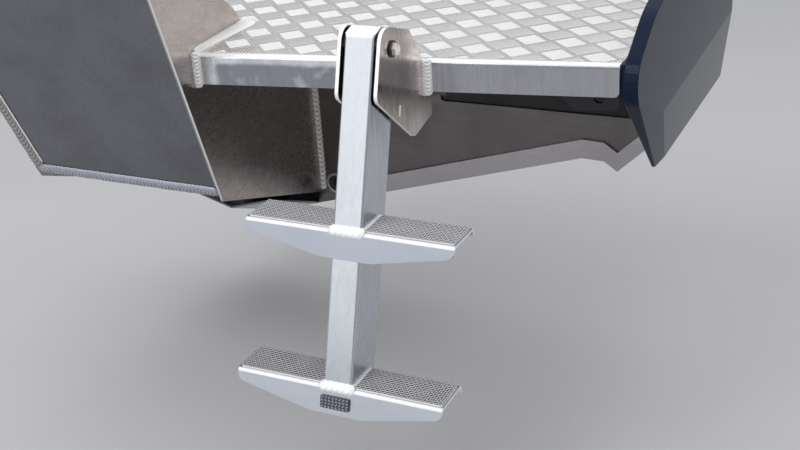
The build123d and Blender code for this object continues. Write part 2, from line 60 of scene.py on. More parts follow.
KNEE_ROUND_Y = (126.0, 168.0)   # where it starts to round off, and where it ends
TRANSOM_AFT = 509.0
SKIN_AFT = 504.0
CHEEK_OUTER = 36.0
LEAN = math.radians(17.3)       # of the post
POST_AFT_Y = -163.1             # the post's aft face at deck level
POST_WIDTH = 50.0
STEP_S = (-211.5, -458.5)       # the two steps, along the post
FLOOR_Z = -720.0


def at(x, y, z):
    return Vector((x, y - PLATFORM_DEPTH, z + DECK_TOP)) * MM


def on_post(x, n, s):
    """Beside the post: n forward from its aft face, s up along it."""
    y = POST_AFT_Y + s * math.sin(LEAN) + n * math.cos(LEAN)
    z = s * math.cos(LEAN) - n * math.sin(LEAN)
    return at(x, y, z)


def wall_x(y):
    """The starboard pod wall's outer face."""
    return POD_WALL[0] - (y - POD_WALL[1]) * TOE


def seam_x(y):
    """Deck edge of the broad fillet along the starboard pod wall, which rounds off towards the front."""
    start, end = KNEE_ROUND_Y
    rounding = math.sqrt(1 - min(1.0, max(0.0, (y - start) / (end - start))) ** 2)
    return wall_x(y) + max(KNEE_SEAM_X - wall_x(y), KNEE_SEAM_LEAST) * rounding


def pod_aft_y(z):
    return POD_BOTTOM[0] - (z - POD_BOTTOM[1]) * RAKE


# Camera, at the photograph's place

CAMERA_AT = at(839.1, -1697.7, 576.8)
CAMERA_YAW = -0.47026
CAMERA_PITCH = 0.42971
CAMERA_ROLL = -0.06725
FOCAL_SHARE = 1219.2 / 800.0     # focal length over the picture's width
SENSOR = 36.0


def make_camera():
    data = bpy.data.cameras.new("camera")
    camera = bpy.data.objects.new("camera", data)
    bpy.context.scene.collection.objects.link(camera)
    data.sensor_width = SENSOR
    data.lens = SENSOR * FOCAL_SHARE
    forward = Vector((
        math.sin(CAMERA_YAW) * math.cos(CAMERA_PITCH),
        math.cos(CAMERA_YAW) * math.cos(CAMERA_PITCH),
        -math.sin(CAMERA_PITCH),
    ))
    level = Vector((math.cos(CAMERA_YAW), -math.sin(CAMERA_YAW), 0.0))
    above = level.cross(forward)
    right = level * math.cos(CAMERA_ROLL) + above * math.sin(CAMERA_ROLL)
    up = above * math.cos(CAMERA_ROLL) - level * math.sin(CAMERA_ROLL)
    turn = Matrix((right, up, -forward)).transposed().to_4x4()
    camera.matrix_world = Matrix.Translation(CAMERA_AT) @ turn
    bpy.context.scene.camera = camera


make_camera()


# Materials

MIX_COLOURS = (6, 7)            # sockets of a mix node's two colours
MIX_RESULT = 2
ROUGHEN_BETWEEN = (0.35, 0.65)
BORDER_SCALE = 30.0             # of the noise that makes the border of a worn stretch uneven
BORDER_REACH = 0.3


class Surface:
    """A material whose base colour, roughness and relief are built up from layers of noise."""

    def __init__(self, name, colour, roughness, metallic=1.0, bevel=0.0006):
        self.material = bpy.data.materials.new(name)
        self.material.use_nodes = True
        self.material.diffuse_color = (*colour, 1.0)
        self.tree = self.material.node_tree
        self.shader = self.tree.nodes["Principled BSDF"]
        self.shader.inputs["Metallic"].default_value = metallic
        self.place = self.node("ShaderNodeTexCoord").outputs["Object"]
        self.colour = (*colour, 1.0)
        self.roughness = roughness
        edge = self.node("ShaderNodeBevel", samples=4)
        edge.inputs["Radius"].default_value = bevel
        self.normal = edge.outputs["Normal"]

    def node(self, kind, **settings):
        made = self.tree.nodes.new(kind)
        for key, value in settings.items():
            setattr(made, key, value)
        return made

    def link(self, source, target):
        """Links a node's output to a socket, or sets a plain value on it."""
        if isinstance(source, bpy.types.NodeSocket):
            self.tree.links.new(source, target)
        else:
            target.default_value = source

    def noise(self, scale, stretch=(1, 1, 1), detail=4.0, rough=0.55):
        mapping = self.node("ShaderNodeMapping")
        mapping.inputs["Scale"].default_value = stretch
        self.link(self.place, mapping.inputs["Vector"])
        noise = self.node("ShaderNodeTexNoise")
        noise.inputs["Scale"].default_value = scale
        noise.inputs["Detail"].default_value = detail
        noise.inputs["Roughness"].default_value = rough
        self.link(mapping.outputs["Vector"], noise.inputs["Vector"])
        return noise.outputs["Fac"]

    def between(self, value, low, high, out_low, out_high):
        ranged = self.node("ShaderNodeMapRange")
        ranged.inputs["From Min"].default_value = low
        ranged.inputs["From Max"].default_value = high
        ranged.inputs["To Min"].default_value = out_low
        ranged.inputs["To Max"].default_value = out_high
        self.link(value, ranged.inputs["Value"])
        return ranged.outputs["Result"]

    def towards(self, axis, ends):
        """0 at the first end of a stretch along an axis and 1 at its other end, with an uneven border."""
        split = self.node("ShaderNodeSeparateXYZ")
        self.link(self.place, split.inputs[0])
        wobble = self.node("ShaderNodeMath", operation="ADD")
        uneven = self.noise(BORDER_SCALE, detail=2.0)
        self.link(self.between(split.outputs[axis], *ends, 0.0, 1.0), wobble.inputs[0])
        self.link(self.between(uneven, 0.3, 0.7, -BORDER_REACH, BORDER_REACH), wobble.inputs[1])
        return wobble.outputs[0]

    def tint(self, value, colour, low, high, amount):
        """Blends the colour towards another as value goes from low to high."""
        mix = self.node("ShaderNodeMix", data_type="RGBA")
        self.link(self.between(value, low, high, 0.0, amount), mix.inputs["Factor"])
        self.link(self.colour, mix.inputs[MIX_COLOURS[0]])
        mix.inputs[MIX_COLOURS[1]].default_value = (*colour, 1.0)
        self.colour = mix.outputs[MIX_RESULT]

    def roughen(self, value, amount):
        add = self.node("ShaderNodeMath", operation="ADD", use_clamp=True)
        self.link(self.roughness, add.inputs[0])
        self.link(self.between(value, *ROUGHEN_BETWEEN, -amount, amount), add.inputs[1])
        self.roughness = add.outputs[0]

    def relief(self, value, depth, strength):
        bump = self.node("ShaderNodeBump")
        bump.inputs["Distance"].default_value = depth
        bump.inputs["Strength"].default_value = strength
        self.link(value, bump.inputs["Height"])
        self.link(self.normal, bump.inputs["Normal"])
        self.normal = bump.outputs["Normal"]

    def valley(self):
        """How deep a point of a raised texture lies, from 0 at its crown to 1 at its foot."""
        return self.node("ShaderNodeAttribute", attribute_name="valley").outputs["Fac"]

    def done(self):
        self.link(self.colour, self.shader.inputs["Base Color"])
        self.link(self.roughness, self.shader.inputs["Roughness"])
        self.link(self.normal, self.shader.inputs["Normal"])
        return self.material


ALONG_X = (0.04, 1, 1)
ALONG_Y = (1, 0.04, 1)
ALONG_Z = (1, 1, 0.04)
LONG_X = (0.03, 1, 1)
GRAIN_SCALE = 170.0
GRAIN_DEPTH = 0.00003
GRAIN_STRENGTH = 0.6
# Dark at the foot of the tread bars: dirt together with painted shade between the bars
TREAD_DIRT_AND_SHADE = (0.16, 0.155, 0.15)
TREAD_STAIN = (0.60, 0.56, 0.50)
SCRATCH = (0.82, 0.85, 0.90)
PAINT_IOR = 1.18


def brushed_sheet(name, colour, dark, roughness, grain, mottle=0.5, lines=0.3, warp=0.0, paler=None):
    """Mill-finish aluminium: fine grain along one axis, cloudy patches and small scuffs.

    warp is the depth of a slow waviness. The last argument is a paler colour and the stretches, along axes,
    over which
    the sheet turns to it: painted light on the rail and the pod walls, and a paler front on the cheeks.
    """
    surface = Surface(name, colour, roughness)
    fine = surface.noise(GRAIN_SCALE, grain, detail=5.0)
    cloud = surface.noise(8.0, detail=3.0)
    scuff = surface.noise(240.0, detail=2.0, rough=0.7)
    surface.tint(cloud, dark, low=0.45, high=0.75, amount=mottle)
    surface.tint(fine, dark, low=0.45, high=0.75, amount=lines)
    surface.tint(scuff, dark, low=0.66, high=0.8, amount=0.25)
    # Paler stretches: painted light on the rail and the pod walls, a paler front on the cheeks
    if paler:
        pale, stretches = paler
        for axis, ends in stretches.items():
            surface.tint(surface.towards(axis, ends), pale, low=0.0, high=1.0, amount=0.9)
    surface.roughen(fine, 0.05)
    surface.roughen(cloud, 0.04)
    if warp:
        surface.relief(surface.noise(7.0, detail=1.0), warp, strength=0.6)
    surface.relief(fine, GRAIN_DEPTH, GRAIN_STRENGTH)
    return surface.done()


def scratched_sheet(name, colour, dark, roughness):
    """Satin sheet with a few long pale scratches along its length."""
    surface = Surface(name, colour, roughness)
    surface.tint(surface.noise(9.0, detail=3.0), dark, low=0.45, high=0.8, amount=0.4)
    surface.tint(surface.noise(150.0, ALONG_X, detail=4.0), dark, low=0.45, high=0.8, amount=0.25)
    surface.tint(surface.noise(55.0, LONG_X, detail=1.0), SCRATCH, low=0.665, high=0.69, amount=0.45)
    surface.relief(surface.noise(GRAIN_SCALE, ALONG_X, detail=4.0), GRAIN_DEPTH, GRAIN_STRENGTH)
    return surface.done()


def tread_metal(name, colour, dark, roughness, metallic):
    """Worn tread plate, darkened at the foot of its raised bars by dirt there and by painted shade between
    the bars.
    """
    surface = Surface(name, colour, roughness, metallic, bevel=0.0004)
    cloud = surface.noise(9.0, detail=5.0)
    stain = surface.noise(28.0, detail=4.0, rough=0.7)
    surface.tint(surface.valley(), TREAD_DIRT_AND_SHADE, low=0.4, high=0.95, amount=0.9)
    surface.tint(cloud, dark, low=0.5, high=0.8, amount=0.4)
    surface.tint(stain, TREAD_STAIN, low=0.62, high=0.8, amount=0.3)
    surface.roughen(cloud, 0.05)
    surface.relief(surface.noise(420.0, detail=2.0), depth=0.00004, strength=0.4)
    return surface.done()


def weld_metal(name, colour, valley, roughness, metallic=1.0, foot=(0.1, 0.8)):
    """Weld metal that darkens towards the foot of each ripple: painted shade in the groove between ripples.
    """
    surface = Surface(name, colour, roughness, metallic, bevel=0.0003)
    surface.tint(surface.noise(120.0, detail=4.0), valley, low=0.55, high=0.85, amount=0.3)
    surface.tint(surface.valley(), valley, *foot, amount=1.0)
    surface.relief(surface.noise(900.0, detail=2.0), depth=0.00006, strength=0.5)
    return surface.done()


# Pale finish for cut edges and for faces given a painted highlight
def edge_and_highlight(name, colour, dark, roughness, metallic=1.0):
    surface = Surface(name, colour, roughness, metallic)
    surface.tint(surface.noise(300.0, detail=3.0), dark, low=0.5, high=0.8, amount=0.4)
    return surface.done()


def grip_rubber(name, colour, paler):
    surface = Surface(name, colour, roughness=0.62, metallic=0.0, bevel=0.0002)
    surface.tint(surface.noise(30.0, detail=4.0), paler, low=0.45, high=0.75, amount=0.6)
    surface.relief(surface.noise(1500.0, detail=2.0), depth=0.00008, strength=0.6)
    return surface.done()


def stainless(name, colour, dark):
    surface = Surface(name, colour, roughness=0.14, bevel=0.0003)
    cloud = surface.noise(160.0, detail=3.0)
    surface.tint(cloud, dark, low=0.5, high=0.8, amount=0.4)
    surface.roughen(cloud, 0.05)
    return surface.done()


def nylon(name, colour):
    surface = Surface(name, colour, roughness=0.42, metallic=0.0, bevel=0.0004)
    surface.relief(surface.noise(900.0), depth=0.00004, strength=0.5)
    return surface.done()


def gloss_paint(name, colour, dark):
    surface = Surface(name, colour, roughness=0.07, metallic=0.0, bevel=0.003)
    surface.shader.inputs["IOR"].default_value = PAINT_IOR
    surface.tint(surface.noise(5.0, detail=3.0), dark, low=0.4, high=0.8, amount=0.5)
    surface.relief(surface.noise(3.0, detail=1.0), depth=0.002, strength=0.25)
    return surface.done()


# Paler stretches: their colour, and where along the frame's axes they begin and are full
# Inboard rail: painted reflection along its top bend and near its inboard end
RAIL_PAINTED_SHEEN = ((0.84, 0.87, 0.91), {"Z": (0.081, 0.089), "X": (-0.318, -0.331)})
# Cheeks: paler towards the front
CHEEK_PALER_FRONT = ((0.80, 0.74, 0.70), {"Y": (-0.580, -0.545)})
# Pod walls: painted light above the deck, leaving them darker below it as painted shade under the deck
POD_PAINTED_LIGHT = ((0.58, 0.515, 0.475), {"Z": (0.098, 0.112)})
MATERIALS = {
    "tread": tread_metal("tread_plate_metal", (0.80, 0.79, 0.78), (0.66, 0.65, 0.64), 0.36, 1.0),
    "bar": tread_metal("tread_bar_metal", (0.88, 0.875, 0.865), (0.77, 0.765, 0.75), 0.26, 0.65),
    "rail": brushed_sheet("rail_sheet", (0.435, 0.435, 0.47), (0.325, 0.33, 0.365), 0.28, ALONG_Z,
                          mottle=0.6),
    # The inboard rail's sheet is a darker copy of the rail's: painted shade
    "shaded_rail": brushed_sheet("inboard_rail_shaded_sheet", (0.315, 0.32, 0.36), (0.24, 0.248, 0.28), 0.28, ALONG_Z,
                               mottle=0.6, paler=RAIL_PAINTED_SHEEN),
    "lug": brushed_sheet("lug_sheet", (0.045, 0.045, 0.05), (0.03, 0.03, 0.033), 0.35, ALONG_X),
    # Pale finish for the pod walls' cut edges: partly their bare metal, partly painted highlight
    "edge": edge_and_highlight("edge_and_highlight", (0.86, 0.86, 0.87), (0.62, 0.62, 0.63), 0.45),
    # Near-white finish for the rail tops, the cheeks' edges and sideways end faces: painted highlight
    "painted_highlight": edge_and_highlight("painted_highlight", (0.95, 0.95, 0.95), (0.84, 0.84, 0.84), 0.5, metallic=0.25),
    # Pale finish on the steps' bends: painted highlight
    "bend": edge_and_highlight("step_bend_highlight", (0.78, 0.79, 0.81), (0.70, 0.71, 0.73), 0.45, metallic=0.3),
    "cheek": brushed_sheet("cheek_sheet", (0.53, 0.48, 0.44), (0.34, 0.315, 0.30), 0.22, ALONG_Z,
                           warp=0.0008, paler=CHEEK_PALER_FRONT),
    "pod": brushed_sheet("pod_sheet", (0.44, 0.395, 0.37), (0.33, 0.295, 0.275), 0.28, ALONG_Y,
                         mottle=0.7, paler=POD_PAINTED_LIGHT),
    "engine_plate": brushed_sheet("engine_plate_sheet", (0.187, 0.192, 0.215), (0.13, 0.13, 0.14), 0.27,
                                  ALONG_Z, mottle=0.7),
    "transom": brushed_sheet("transom_sheet", (0.157, 0.147, 0.147), (0.12, 0.113, 0.11), 0.33, ALONG_X,
                             mottle=0.6, lines=0.15),
    # Near-black sheet for the recess under the deck: painted shade
    "recess": brushed_sheet("recess_painted_shade", (0.042, 0.04, 0.04), (0.03, 0.028, 0.028), 0.4, ALONG_X),
    "lip": brushed_sheet("transom_lip_sheet", (0.46, 0.44, 0.46), (0.375, 0.36, 0.375), 0.33, ALONG_X,
                         lines=0.1),
    "tube": brushed_sheet("post_tube", (0.62, 0.65, 0.69), (0.53, 0.56, 0.60), 0.27, ALONG_Z, mottle=0.25),
    "cap": brushed_sheet("post_cap_metal", (0.88, 0.90, 0.93), (0.74, 0.77, 0.81), 0.36, ALONG_X,
                         mottle=0.25),
    # The upper step's sheet is a darker copy of the lower step's: painted shade
    "upper_step": scratched_sheet("upper_step_shaded_sheet", (0.44, 0.47, 0.53), (0.38, 0.41, 0.46), 0.33),
    "lower_step": scratched_sheet("lower_step_sheet", (0.60, 0.63, 0.69), (0.52, 0.55, 0.61), 0.33),
    # Weld beads: the second colour darkens the foot of each ripple as painted shade
    "weld": weld_metal("weld_bead", (0.96, 0.96, 0.96), (0.06, 0.06, 0.06), 0.40, 0.2, foot=(0.4, 0.9)),
    "step_weld": weld_metal("step_weld_bead", (0.96, 0.96, 0.96), (0.34, 0.34, 0.34), 0.45, 0.4,
                            foot=(0.4, 1.0)),
    "smooth_weld": weld_metal("smooth_weld_bead", (0.96, 0.96, 0.96), (0.72, 0.72, 0.72), 0.60, 0.2),
    "rope_weld": weld_metal("rope_weld_bead", (0.97, 0.95, 0.90), (0.22, 0.21, 0.20), 0.55, 0.1,
                            foot=(0.2, 0.9)),
    "dull_weld": weld_metal("dull_weld_bead", (0.44, 0.42, 0.41), (0.08, 0.075, 0.07), 0.35),
    "blue_weld": weld_metal("plate_weld_bead", (0.46, 0.48, 0.54), (0.16, 0.17, 0.20), 0.45, 0.75,
                            foot=(0.2, 0.8)),
    # Grip rubber: near-black body as painted shade between the dashes, pale dash tops and sides as painted
    # highlight
    "grip": grip_rubber("grip_rubber", (0.075, 0.07, 0.075), (0.11, 0.105, 0.11)),
    "grip_top": grip_rubber("grip_rubber_tops", (0.62, 0.61, 0.64), (0.74, 0.73, 0.76)),
    "grip_side_highlight": grip_rubber("grip_rubber_side_highlights", (0.84, 0.84, 0.86), (0.92, 0.92, 0.93)),
    "dark_grip": grip_rubber("dark_grip_rubber", (0.055, 0.055, 0.075), (0.08, 0.08, 0.10)),
    "dark_grip_top": grip_rubber("dark_grip_rubber_tops", (0.36, 0.37, 0.44), (0.46, 0.47, 0.54)),
    "stainless": stainless("stainless_steel", (0.74, 0.70, 0.67), (0.45, 0.42, 0.40)),
    "nylon": nylon("black_nylon", (0.012, 0.012, 0.014)),
    "paint": gloss_paint("hull_paint", (0.007, 0.015, 0.036), (0.005, 0.010, 0.023)),
}
NODE_MATERIALS = {
    "tread": ["tread_deck"],
    "rail": ["rail_centre", "rail_outboard", "transom_plate"],
    "shaded_rail": ["rail_inboard"],
    "lug": ["tie_down_lug"],
    "cheek": ["hinge_cheek_inboard", "hinge_cheek_outboard", "ladder_stop_plate"],
    "pod": ["pod_wall_starboard", "pod_wall_port"],
    "engine_plate": ["engine_plate", "pod_bottom_plate", "pod_keel_plate"],
    "transom": ["transom_skin", "deck_bearer_inboard", "deck_bearer_outboard"],
    "lip": ["transom_lip", "drain_ring"],
    "tube": ["ladder_post", "post_foot_plate"],
    "cap": ["post_cap"],
    "upper_step": ["upper_step"],
    "lower_step": ["lower_step"],
    "grip": ["upper_tread_pad_starboard", "upper_tread_pad_port", "lower_tread_pad_starboard",
             "lower_tread_pad_port"],
    "dark_grip": ["grip_patch"],
    "stainless": ["pivot_bolt", "pivot_nut", "pivot_sleeve"],
    "nylon": ["pivot_washer_inboard", "pivot_washer_outboard"],
    "paint": ["hull_side", "hull_side_flange"],
}
for finish, names in NODE_MATERIALS.items():
    for name in names:
        mesh = nodes[name].data
        mesh.materials.clear()
        mesh.materials.append(MATERIALS[finish])

# Shares of a face's normal along an axis, from which on the face looks that way
MOSTLY = 0.7
SQUARELY = 0.9
HALFWAY = 0.5
BEND_AFT, BEND_UP = 0.3, 0.33


def paint_faces(name, finish, chosen):
    """Gives another finish to the faces of a node whose normal passes the test."""
    mesh = nodes[name].data
    mesh.materials.append(MATERIALS[finish])
    for face in mesh.polygons:
        if chosen(face.normal):
            face.material_index = len(mesh.materials) - 1


# Rail tops: painted highlight
for name in ("rail_inboard", "rail_centre", "rail_outboard"):
    paint_faces(name, "painted_highlight", lambda normal: normal.z > MOSTLY)
# Cheek edges: painted highlight
for name in ("hinge_cheek_inboard", "hinge_cheek_outboard"):
    paint_faces(name, "painted_highlight", lambda normal: abs(normal.x) < MOSTLY)
# Cut edges of the pod walls: bare metal with a painted highlight
for name in ("pod_wall_starboard", "pod_wall_port"):
    paint_faces(name, "edge", lambda normal: abs(normal.x) < MOSTLY)
# The steps' bends: painted highlight
for name in ("upper_step", "lower_step"):
    paint_faces(name, "bend", lambda normal: normal.y < -BEND_AFT and normal.z > BEND_UP)
# End faces that look sideways: painted highlight
for name in ("ladder_stop_plate", "rail_outboard", "upper_step", "lower_step"):
    paint_faces(name, "painted_highlight", lambda normal: abs(normal.x) > SQUARELY)
# The transom plate's aft faces in the recess under the deck: painted shade
paint_faces("transom_plate", "recess", lambda normal: normal.y < -HALFWAY)
# The pads' sides: painted highlight that widens the bright band along each step's bend
for name in NODE_MATERIALS["grip"]:
    paint_faces(name, "grip_side_highlight", lambda normal: abs(normal.z) < HALFWAY)


SQUARE = ((-1, -1), (1, -1), (1, 1), (-1, 1))


def add_mesh(name, verts, faces, finish, body, smooth=True, valley=None):
    mesh = bpy.data.meshes.new(name)
    mesh.from_pydata(verts, [], faces)
    mesh.update()
    mesh.polygons.foreach_set("use_smooth", [smooth] * len(mesh.polygons))
    mesh.materials.append(MATERIALS[finish])
    if valley:
        mesh.attributes.new("valley", "FLOAT", "POINT").data.foreach_set("value", valley)
    piece = bpy.data.objects.new(name, mesh)
    bpy.context.scene.collection.objects.link(piece)
    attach(piece, body)


def grid_faces(first, rows, columns):
    """Faces of a sheet of points that starts at first, as many points as rows times columns."""
    faces = []
    for r in range(rows - 1):
        for c in range(columns - 1):
            a = first + r * columns + c
            faces.append((a, a + 1, a + columns + 1, a + columns))
    return faces


# Raised bars of the tread plate: square cells set diagonally, their bars turned from one cell to the next

LATTICE = 69.4              # between cells of one kind, along X and along Y
LATTICE_AT = (-323.0, 17.0)
LATTICE_REACH = 2400.0
CELLS_X = (-830.0, 400.0)   # where a cell's middle may lie
CELLS_Y = (-200.0, 560.0)
BARS_PER_CELL = 9
BAR_LENGTH = 41.0
BAR_WIDTH = 4.9
BAR_HEIGHT = 1.1
BAR_PITCH = 4.9
BAR_POINT = 0.6             # share of its width that a bar keeps where its height runs out
DECK_EDGE = 1.0
WELL_EDGE = 10.0            # between the engine plate and the bars inside the pod
SHORTEST_BAR = 5.0
BAR_FOOT = 0.03             # share of the height that a bar keeps at its foot, clear of the plate
BAR_ACROSS = ((-0.5, 0.0), (-0.22, 0.8), (0.0, 1.0), (0.22, 0.8), (0.5, 0.0))
BAR_ALONG = ((-0.5, 0.1), (-0.45, 0.85), (-0.4, 1.0), (0.4, 1.0), (0.45, 0.85), (0.5, 0.1))


def on_deck(x, y):
    """Is this point on the tread plate, clear of its edges and of the pod walls that cross it?"""
    if y > TRANSOM_AFT or x > RAIL_OUTBOARD - DECK_EDGE:
        return False
    inboard = x - wall_x(y)
    port = 2 * POD_CENTRE - wall_x(y) - x
    if inboard > 0 and y < KNEE_ROUND_Y[1]:
        return x > seam_x(y) + DECK_EDGE and y > x * RAIL_SLOPE + RAIL_LIP + DECK_EDGE
    if y > KNEE_FRONT_Y:
        return port < -DECK_EDGE
    inside = -PLATE - DECK_EDGE
    return inboard < inside and port < inside and y > pod_aft_y(-PLATE) + WELL_EDGE


def clipped(centre, direction, length):
    """The longest stretch of a bar that lies on the deck, as its two ends."""
    steps = int(length)
    best, run = None, None
    for i in range(steps + 1):
        t = -length / 2 + i * length / steps
        if on_deck(centre[0] + direction[0] * t, centre[1] + direction[1] * t):
            run = (run[0], t) if run else (t, t)
            if best is None or run[1] - run[0] > best[1] - best[0]:
                best = run
        else:
            run = None
    return best


def bar_points(centre, along, across, ends):
    """A bar's points in rows along it, and how deep each lies."""
    verts, foot = [], []
    middle = (ends[0] + ends[1]) / 2
    for share, rise in BAR_ALONG:
        t = middle + share * (ends[1] - ends[0])
        for width, height in BAR_ACROSS:
            w = width * BAR_WIDTH * (BAR_POINT + (1 - BAR_POINT) * rise)
            verts.append(at(
                centre[0] + along[0] * t + across[0] * w,
                centre[1] + along[1] * t + across[1] * w,
                max(height * rise, BAR_FOOT) * BAR_HEIGHT,
            ))
            foot.append(1 - height * rise)
    return verts, foot


def tread_bars():
    verts, faces, foot = [], [], []
    diagonal = math.sqrt(0.5)
    side = LATTICE * diagonal
    span = int(LATTICE_REACH / side)
    for i in range(-span, span):
        for j in range(-span, span):
            turn = 1 if (i + j) % 2 == 0 else -1
            along = (diagonal, diagonal * turn)
            across = (-diagonal * turn, diagonal)
            cell_x = LATTICE_AT[0] + (i - j) * side * diagonal
            cell_y = LATTICE_AT[1] + (i + j) * side * diagonal
            if not (CELLS_X[0] < cell_x < CELLS_X[1] and CELLS_Y[0] < cell_y < CELLS_Y[1]):
                continue
            for k in range(BARS_PER_CELL):
                shift = (k - (BARS_PER_CELL - 1) / 2) * BAR_PITCH
                centre = (cell_x + across[0] * shift, cell_y + across[1] * shift)
                ends = clipped(centre, along, BAR_LENGTH)
                if ends is None or ends[1] - ends[0] < SHORTEST_BAR:
                    continue
                bar_verts, bar_foot = bar_points(centre, along, across, ends)
                for a, b, c, d in grid_faces(len(verts), len(BAR_ALONG), len(BAR_ACROSS)):
                    faces.append((a, d, c, b))
                verts += bar_verts
                foot += bar_foot
    add_mesh("tread_bars", verts, faces, "bar", "platform", valley=foot)


tread_bars()


# Weld beads: a row of overlapping curved ripples, each highest at its crown and darkest at its foot, where
# the darkness is painted shade in the groove between ripples

WELD_STEPS = 8              # rows of points for each ripple
WELD_ACROSS = 11            # points in a row
WELD_SWING = 0.10           # share by which a ripple's height may differ
WELD_SHIFT = 0.4            # how far that also shifts it sideways
WELD_BOW = 0.5              # share of the width by which a ripple's edges run ahead
WELD_END_HEIGHT = 0.25      # shares that are left at the bead's ends
WELD_END_WIDTH = 0.35


def weld(name, path, width, height, ripple, normal, seed, depth, finish="weld", body="platform"):
    """A bead along the straight runs between the path's points, standing out along normal.

    depth is the share of its height that it loses between two ripples.
    """
    wander = random.Random(seed)
    verts, faces, valley = [], [], []
    for start, end in zip(path, path[1:]):
        length = (end - start).length
        along = (end - start).normalized()
        out = (Vector(normal) - along * along.dot(Vector(normal))).normalized()
        across = along.cross(out)
        rows = max(WELD_STEPS, int(length / (ripple * MM) * WELD_STEPS))
        faces += grid_faces(len(verts), rows + 1, WELD_ACROSS)
        for r in range(rows + 1):
            s = length * r / rows
            if r % WELD_STEPS == 0:
                swing = wander.uniform(-WELD_SWING, WELD_SWING)
            ends = min(1.0, min(s, length - s) / (width * MM * 0.5))
            taper = math.sqrt(max(0.0, 1 - (1 - ends) ** 2))
            for c in range(WELD_ACROSS):
                u = -1 + 2 * c / (WELD_ACROSS - 1)
                phase = (s / MM + u * u * width * WELD_BOW) / ripple
                crown = math.sqrt(math.sin(math.pi * (phase - math.floor(phase))))
                rise = math.sqrt(max(0.0, 1 - u * u)) * (1 - depth + depth * crown) * (1 + swing)
                h = height * MM * rise * (WELD_END_HEIGHT + (1 - WELD_END_HEIGHT) * taper)
                w = width * MM * 0.5 * (u + swing * WELD_SHIFT)
                w *= WELD_END_WIDTH + (1 - WELD_END_WIDTH) * taper
                verts.append(start + along * s + across * w + out * h)
                valley.append(1 - crown)
    add_mesh(name, verts, faces, finish, body, valley=valley)


def along_wall(y, z, out):
    """A point beside the starboard pod wall's outer face."""
    return at(wall_x(y) + out, y, z)


RAIL_START_Y = POD_WALL[0] * RAIL_SLOPE
KNEE_START = 2.0            # from the rail's end to the fillet's
KNEE_CLEAR = 0.3            # from the wall and from the deck
KNEE_CLIMB = (10.0, 0.5)    # height of the fillet on the wall, aft and where it starts to round off
KNEE_NOSE = 9.0             # length of its rounded aft end
KNEE_CROWN = 2.5            # how far its middle stands out
KNEE_RIPPLE = (7.0, 0.35)   # pitch and height
KNEE_BOW = 6.0              # how far a ripple runs back towards the deck
KNEE_ROWS = 300
KNEE_COLUMNS = 10


def knee_fillet():
    """Broad smooth fillet from the starboard pod wall down to the deck, with painted shade in the grooves of
    its ripples.
    """
    start, end = RAIL_START_Y + KNEE_START, KNEE_ROUND_Y[1]
    high, low = KNEE_CLIMB
    pitch, ripple = KNEE_RIPPLE
    verts, valley = [], []
    for r in range(KNEE_ROWS + 1):
        y = start + (end - start) * r / KNEE_ROWS
        climb = high + (low - high) * min(1.0, (y - start) / (KNEE_ROUND_Y[0] - start))
        nose = math.sqrt(1 - (1 - min(1.0, (y - start) / KNEE_NOSE)) ** 2)
        for c in range(KNEE_COLUMNS + 1):
            t = c / KNEE_COLUMNS
            x = wall_x(y) + KNEE_CLEAR + (seam_x(y) - wall_x(y)) * t
            wave = 0.5 + 0.5 * math.sin(2 * math.pi * (y + KNEE_BOW * t * t) / pitch)
            bulge = math.sin(math.pi * t)
            z = KNEE_CLEAR + nose * (climb * (1 - t) + KNEE_CROWN * bulge) + ripple * wave * bulge
            verts.append(at(x, y, z))
            valley.append((1 - wave) * bulge)
    faces = grid_faces(0, KNEE_ROWS + 1, KNEE_COLUMNS + 1)
    add_mesh("weld_deck_to_knee", verts, faces, "smooth_weld", "platform", valley=valley)


PAST_RAIL = 6.0             # how far the upright beads run past the rail
AFT_STARBOARD = (0.7, -0.7, 0)
knee_fillet()
rail_end = [along_wall(RAIL_START_Y - 1, z, 3.5) for z in (PAST_RAIL, -RAIL_HEIGHT - PAST_RAIL)]
weld("weld_rail_to_pod", rail_end, width=17, height=8, ripple=6.4, normal=AFT_STARBOARD, seed=4, depth=0.5)
for side, label in ((1, "outboard"), (-1, "inboard")):
    edge = side * (CHEEK_OUTER + 4)
    line = [at(edge, edge * RAIL_SLOPE - 1.5, z) for z in (4, -RAIL_HEIGHT - PAST_RAIL)]
    weld(f"weld_cheek_to_rail_{label}", line, width=19, height=7.5, ripple=6.2, normal=(side * 0.7, -0.7, 0),
         seed=5 + side, depth=0.5)
transom_line = [along_wall(SKIN_AFT - 2, z, 3.0) for z in (-PLATE - 2, -490)]
weld("weld_pod_to_transom", transom_line, width=18, height=7, ripple=11, normal=AFT_STARBOARD, seed=9,
     depth=0.55, finish="rope_weld")

AFT_OUT = (0, -0.93, -0.368)    # the way the engine plate looks
PLATE_BEAD_IN = 2.5             # of the beads' feet, forward from the pod's aft edge


def pod_edge(side, z, inset):
    """A point near the pod's aft edge on one side, inset towards the centre."""
    y = pod_aft_y(z)
    return at(POD_CENTRE + side * (wall_x(y) - POD_CENTRE - inset), y + PLATE_BEAD_IN, z)


def plate_weld(label, path, width, height, ripple, seed, depth, finish="dull_weld"):
    weld(f"weld_engine_plate_{label}", path, width, height, ripple, AFT_OUT, seed, depth, finish)


